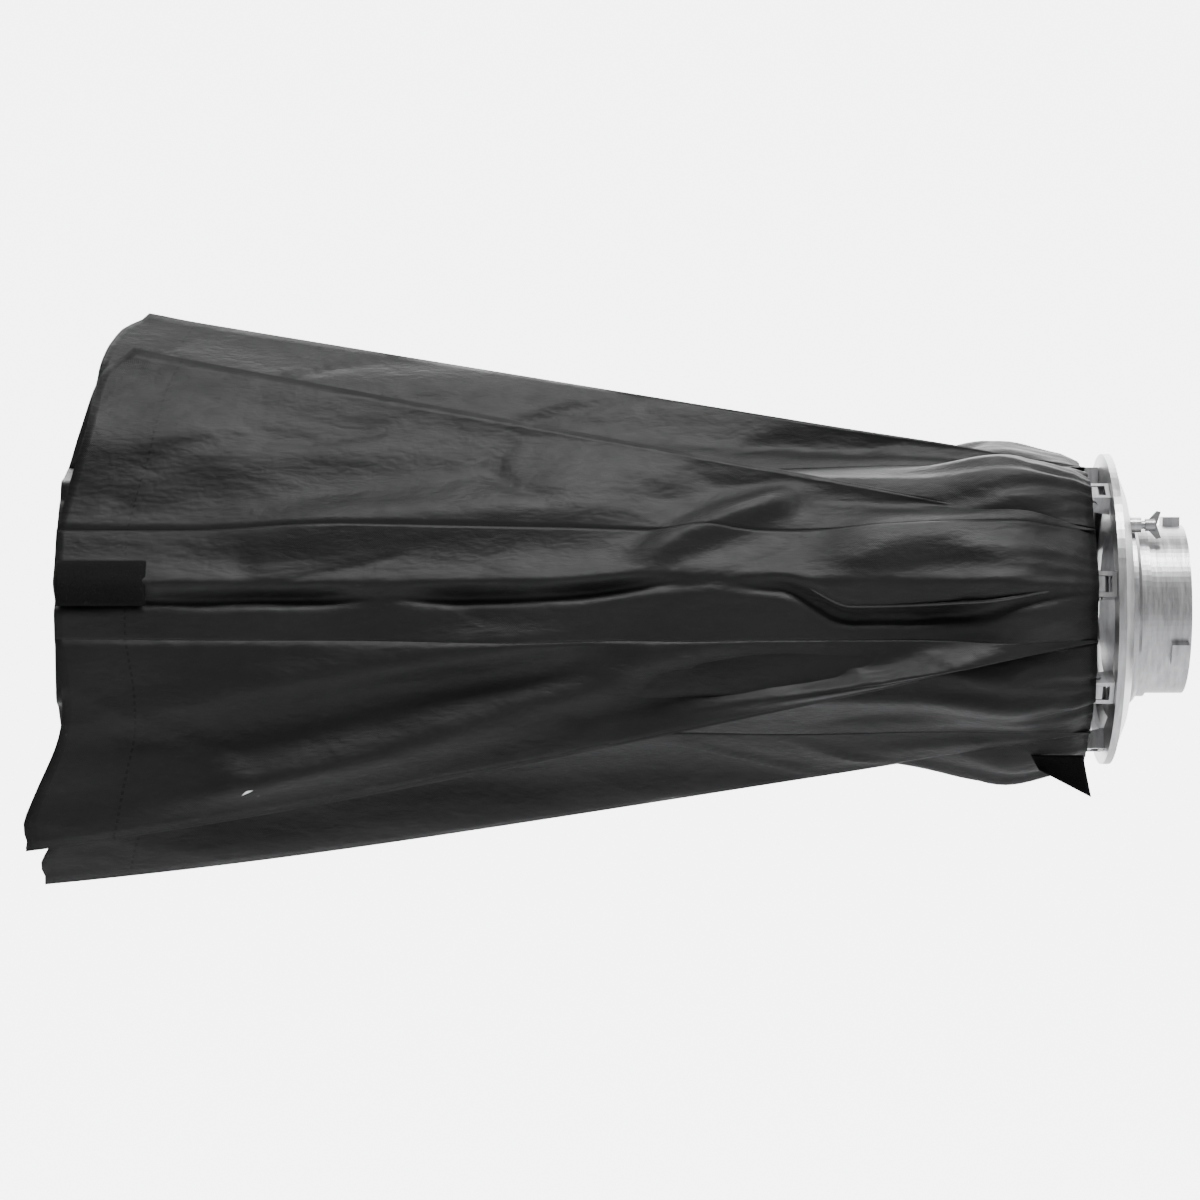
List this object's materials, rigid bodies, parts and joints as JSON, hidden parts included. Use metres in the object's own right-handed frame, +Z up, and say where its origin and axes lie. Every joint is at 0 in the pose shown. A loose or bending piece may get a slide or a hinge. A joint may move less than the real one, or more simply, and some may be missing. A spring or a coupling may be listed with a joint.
{
  "type": "octabox",
  "caption": "Folded octagonal softbox: fabric pleats on hinged rods round a metal speedring with a bayonet mount.",
  "frame": {"origin": "centre of the bayonet tube's end face, where the octabox meets its lamp", "axes": "+X along the axis towards the lamp, +Z up, the folded mouth at -X"},
  "size_m": [0.647, 0.2876, 0.3418],
  "materials": {
    "bright_metal": "satin, turned and pressed",
    "screw_metal": "satin",
    "rod_black": "satin black",
    "black_nylon": "woven nylon, soft sheen"
  },
  "bodies": {
    "mount": {"bayonet_tube": "bright_metal"},
    "speedring": {"dish": "bright_metal", "retaining_ring": "bright_metal", "rod_bracket_1": "bright_metal", "hinge_pin_1": "screw_metal", "rod_bracket_2": "bright_metal", "hinge_pin_2": "screw_metal", "rod_bracket_3": "bright_metal", "hinge_pin_3": "screw_metal", "rod_bracket_4": "bright_metal", "hinge_pin_4": "screw_metal", "rod_bracket_5": "bright_metal", "hinge_pin_5": "screw_metal", "rod_bracket_6": "bright_metal", "hinge_pin_6": "screw_metal", "rod_bracket_7": "bright_metal", "hinge_pin_7": "screw_metal", "rod_bracket_8": "bright_metal", "hinge_pin_8": "screw_metal"},
    "clamp_screw": {"wing_screw": "screw_metal"},
    "rod_arm_1": {"rod_foot_1": "bright_metal", "rod_1": "rod_black", "fabric_strip_1": "black_nylon"},
    "rod_arm_2": {"rod_foot_2": "bright_metal", "rod_2": "rod_black", "fabric_strip_2": "black_nylon"},
    "rod_arm_3": {"rod_foot_3": "bright_metal", "rod_3": "rod_black", "fabric_strip_3": "black_nylon"},
    "rod_arm_4": {"rod_foot_4": "bright_metal", "rod_4": "rod_black", "fabric_strip_4": "black_nylon"},
    "rod_arm_5": {"rod_foot_5": "bright_metal", "rod_5": "rod_black", "fabric_strip_5": "black_nylon"},
    "rod_arm_6": {"rod_foot_6": "bright_metal", "rod_6": "rod_black", "fabric_strip_6": "black_nylon"},
    "rod_arm_7": {"rod_foot_7": "bright_metal", "rod_7": "rod_black", "fabric_strip_7": "black_nylon"},
    "rod_arm_8": {"rod_foot_8": "bright_metal", "rod_8": "rod_black", "fabric_strip_8": "black_nylon"},
    "pleat_1_rod_1": {"pleat_1_rod_1": "black_nylon"},
    "pleat_1_rod_2": {"pleat_1_rod_2": "black_nylon"},
    "pleat_2_rod_2": {"pleat_2_rod_2": "black_nylon"},
    "pleat_2_rod_3": {"pleat_2_rod_3": "black_nylon"},
    "pleat_3_rod_3": {"pleat_3_rod_3": "black_nylon"},
    "pleat_3_rod_4": {"pleat_3_rod_4": "black_nylon"},
    "pleat_4_rod_4": {"pleat_4_rod_4": "black_nylon"},
    "pleat_4_rod_5": {"pleat_4_rod_5": "black_nylon"},
    "pleat_5_rod_5": {"pleat_5_rod_5": "black_nylon"},
    "pleat_5_rod_6": {"pleat_5_rod_6": "black_nylon"},
    "pleat_6_rod_6": {"pleat_6_rod_6": "black_nylon"},
    "pleat_6_rod_7": {"pleat_6_rod_7": "black_nylon"},
    "pleat_7_rod_7": {"pleat_7_rod_7": "black_nylon"},
    "pleat_7_rod_8": {"pleat_7_rod_8": "black_nylon"},
    "pleat_8_rod_8": {"pleat_8_rod_8": "black_nylon"},
    "pleat_8_rod_1": {"pleat_8_rod_1": "black_nylon"}
  },
  "joints": [
    {"name": "speedring_turn", "type": "hinge", "parent": "mount", "child": "speedring", "pos_m": [0, 0, 0], "axis": [1, 0, 0], "continuous": true},
    {"name": "wing_screw_turn", "type": "hinge", "parent": "speedring", "child": "clamp_screw", "pos_m": [-0.025, -0.03616, 0.04851], "axis": [1, 0, 0], "range_deg": [0, 720]},
    {"name": "rod_1_fold", "type": "hinge", "parent": "speedring", "child": "rod_arm_1", "pos_m": [-0.057, -0.07681, 0.01354], "axis": [0, 0.1736, 0.9848], "range_deg": [0, 33], "deforming": ["pleat_1_rod_1", "pleat_1_rod_2", "pleat_2_rod_2", "pleat_2_rod_3", "pleat_3_rod_3", "pleat_3_rod_4", "pleat_4_rod_4", "pleat_4_rod_5", "pleat_5_rod_5", "pleat_5_rod_6", "pleat_6_rod_6", "pleat_6_rod_7", "pleat_7_rod_7", "pleat_7_rod_8", "pleat_8_rod_8", "pleat_8_rod_1"]},
    {"name": "rod_2_fold", "type": "hinge", "parent": "speedring", "child": "rod_arm_2", "pos_m": [-0.057, -0.04474, 0.06389], "axis": [0, 0.8192, 0.5736], "range_deg": [0, 33]},
    {"name": "rod_3_fold", "type": "hinge", "parent": "speedring", "child": "rod_arm_3", "pos_m": [-0.057, 0.01354, 0.07681], "axis": [0, 0.9848, -0.1736], "range_deg": [0, 33]},
    {"name": "rod_4_fold", "type": "hinge", "parent": "speedring", "child": "rod_arm_4", "pos_m": [-0.057, 0.06389, 0.04474], "axis": [0, 0.5736, -0.8192], "range_deg": [0, 33]},
    {"name": "rod_5_fold", "type": "hinge", "parent": "speedring", "child": "rod_arm_5", "pos_m": [-0.057, 0.07681, -0.01354], "axis": [0, -0.1736, -0.9848], "range_deg": [0, 33]},
    {"name": "rod_6_fold", "type": "hinge", "parent": "speedring", "child": "rod_arm_6", "pos_m": [-0.057, 0.04474, -0.06389], "axis": [0, -0.8192, -0.5736], "range_deg": [0, 33]},
    {"name": "rod_7_fold", "type": "hinge", "parent": "speedring", "child": "rod_arm_7", "pos_m": [-0.057, -0.01354, -0.07681], "axis": [0, -0.9848, 0.1736], "range_deg": [0, 33]},
    {"name": "rod_8_fold", "type": "hinge", "parent": "speedring", "child": "rod_arm_8", "pos_m": [-0.057, -0.06389, -0.04474], "axis": [0, -0.5736, 0.8192], "range_deg": [0, 33]},
    {"name": "pleat_1_rod_1_spread", "type": "hinge", "parent": "rod_arm_1", "child": "pleat_1_rod_1", "pos_m": [-0.057, -0.07123, 0.04449], "axis": [-1, 0, 0], "range_deg": [0, 1.67]},
    {"name": "pleat_1_rod_2_spread", "type": "hinge", "parent": "rod_arm_2", "child": "pleat_1_rod_2", "pos_m": [-0.057, -0.0689, 0.04479], "axis": [1, 0, 0], "range_deg": [0, 171.67]},
    {"name": "pleat_2_rod_2_spread", "type": "hinge", "parent": "rod_arm_2", "child": "pleat_2_rod_2", "pos_m": [-0.057, -0.01891, 0.08182], "axis": [-1, 0, 0], "range_deg": [0, 36.67]},
    {"name": "pleat_2_rod_3_spread", "type": "hinge", "parent": "rod_arm_3", "child": "pleat_2_rod_3", "pos_m": [-0.057, -0.01705, 0.08039], "axis": [1, 0, 0], "range_deg": [0, 136.67]},
    {"name": "pleat_3_rod_3_spread", "type": "hinge", "parent": "rod_arm_3", "child": "pleat_3_rod_3", "pos_m": [-0.057, 0.04449, 0.07123], "axis": [-1, 0, 0], "range_deg": [0, 26.67]},
    {"name": "pleat_3_rod_4_spread", "type": "hinge", "parent": "rod_arm_4", "child": "pleat_3_rod_4", "pos_m": [-0.057, 0.04479, 0.0689], "axis": [1, 0, 0], "range_deg": [0, 146.67]},
    {"name": "pleat_4_rod_4_spread", "type": "hinge", "parent": "rod_arm_4", "child": "pleat_4_rod_4", "pos_m": [-0.057, 0.08182, 0.01891], "axis": [-1, 0, 0], "range_deg": [0, 56.67]},
    {"name": "pleat_4_rod_5_spread", "type": "hinge", "parent": "rod_arm_5", "child": "pleat_4_rod_5", "pos_m": [-0.057, 0.08039, 0.01705], "axis": [1, 0, 0], "range_deg": [0, 116.67]},
    {"name": "pleat_5_rod_5_spread", "type": "hinge", "parent": "rod_arm_5", "child": "pleat_5_rod_5", "pos_m": [-0.057, 0.06971, -0.04352], "axis": [-1, 0, 0], "range_deg": [0, 96.67]},
    {"name": "pleat_5_rod_6_spread", "type": "hinge", "parent": "rod_arm_6", "child": "pleat_5_rod_6", "pos_m": [-0.057, 0.07042, -0.04575], "axis": [1, 0, 0], "range_deg": [0, 76.67]},
    {"name": "pleat_6_rod_6_spread", "type": "hinge", "parent": "rod_arm_6", "child": "pleat_6_rod_6", "pos_m": [-0.057, 0.01852, -0.08007], "axis": [-1, 0, 0], "range_deg": [0, 146.67]},
    {"name": "pleat_6_rod_7_spread", "type": "hinge", "parent": "rod_arm_7", "child": "pleat_6_rod_7", "pos_m": [-0.057, 0.01744, -0.08215], "axis": [1, 0, 0], "range_deg": [0, 26.67]},
    {"name": "pleat_7_rod_7_spread", "type": "hinge", "parent": "rod_arm_7", "child": "pleat_7_rod_7", "pos_m": [-0.057, -0.04352, -0.06971], "axis": [-1, 0, 0], "range_deg": [0, 158.67]},
    {"name": "pleat_7_rod_8_spread", "type": "hinge", "parent": "rod_arm_8", "child": "pleat_7_rod_8", "pos_m": [-0.057, -0.04575, -0.07042], "axis": [1, 0, 0], "range_deg": [0, 14.67]},
    {"name": "pleat_8_rod_8_spread", "type": "hinge", "parent": "rod_arm_8", "child": "pleat_8_rod_8", "pos_m": [-0.057, -0.08007, -0.01852], "axis": [-1, 0, 0], "range_deg": [0, 171.67]},
    {"name": "pleat_8_rod_1_spread", "type": "hinge", "parent": "rod_arm_1", "child": "pleat_8_rod_1", "pos_m": [-0.057, -0.08215, -0.01744], "axis": [1, 0, 0], "range_deg": [0, 1.67]}
  ],
  "couplings": [
    {"joint": "rod_2_fold", "follows": "rod_1_fold", "ratio": 1},
    {"joint": "rod_3_fold", "follows": "rod_1_fold", "ratio": 1},
    {"joint": "rod_4_fold", "follows": "rod_1_fold", "ratio": 1},
    {"joint": "rod_5_fold", "follows": "rod_1_fold", "ratio": 1},
    {"joint": "rod_6_fold", "follows": "rod_1_fold", "ratio": 1},
    {"joint": "rod_7_fold", "follows": "rod_1_fold", "ratio": 1},
    {"joint": "rod_8_fold", "follows": "rod_1_fold", "ratio": 1},
    {"joint": "pleat_1_rod_1_spread", "follows": "rod_1_fold", "ratio": 0.050202},
    {"joint": "pleat_1_rod_2_spread", "follows": "rod_1_fold", "ratio": 5.2017},
    {"joint": "pleat_2_rod_2_spread", "follows": "rod_1_fold", "ratio": 1.1108},
    {"joint": "pleat_2_rod_3_spread", "follows": "rod_1_fold", "ratio": 4.1411},
    {"joint": "pleat_3_rod_3_spread", "follows": "rod_1_fold", "ratio": 0.80778},
    {"joint": "pleat_3_rod_4_spread", "follows": "rod_1_fold", "ratio": 4.4441},
    {"joint": "pleat_4_rod_4_spread", "follows": "rod_1_fold", "ratio": 1.7169},
    {"joint": "pleat_4_rod_5_spread", "follows": "rod_1_fold", "ratio": 3.5351},
    {"joint": "pleat_5_rod_5_spread", "follows": "rod_1_fold", "ratio": 2.929},
    {"joint": "pleat_5_rod_6_spread", "follows": "rod_1_fold", "ratio": 2.3229},
    {"joint": "pleat_6_rod_6_spread", "follows": "rod_1_fold", "ratio": 4.4441},
    {"joint": "pleat_6_rod_7_spread", "follows": "rod_1_fold", "ratio": 0.80778},
    {"joint": "pleat_7_rod_7_spread", "follows": "rod_1_fold", "ratio": 4.8078},
    {"joint": "pleat_7_rod_8_spread", "follows": "rod_1_fold", "ratio": 0.44414},
    {"joint": "pleat_8_rod_8_spread", "follows": "rod_1_fold", "ratio": 5.2017},
    {"joint": "pleat_8_rod_1_spread", "follows": "rod_1_fold", "ratio": 0.050202}
  ]
}
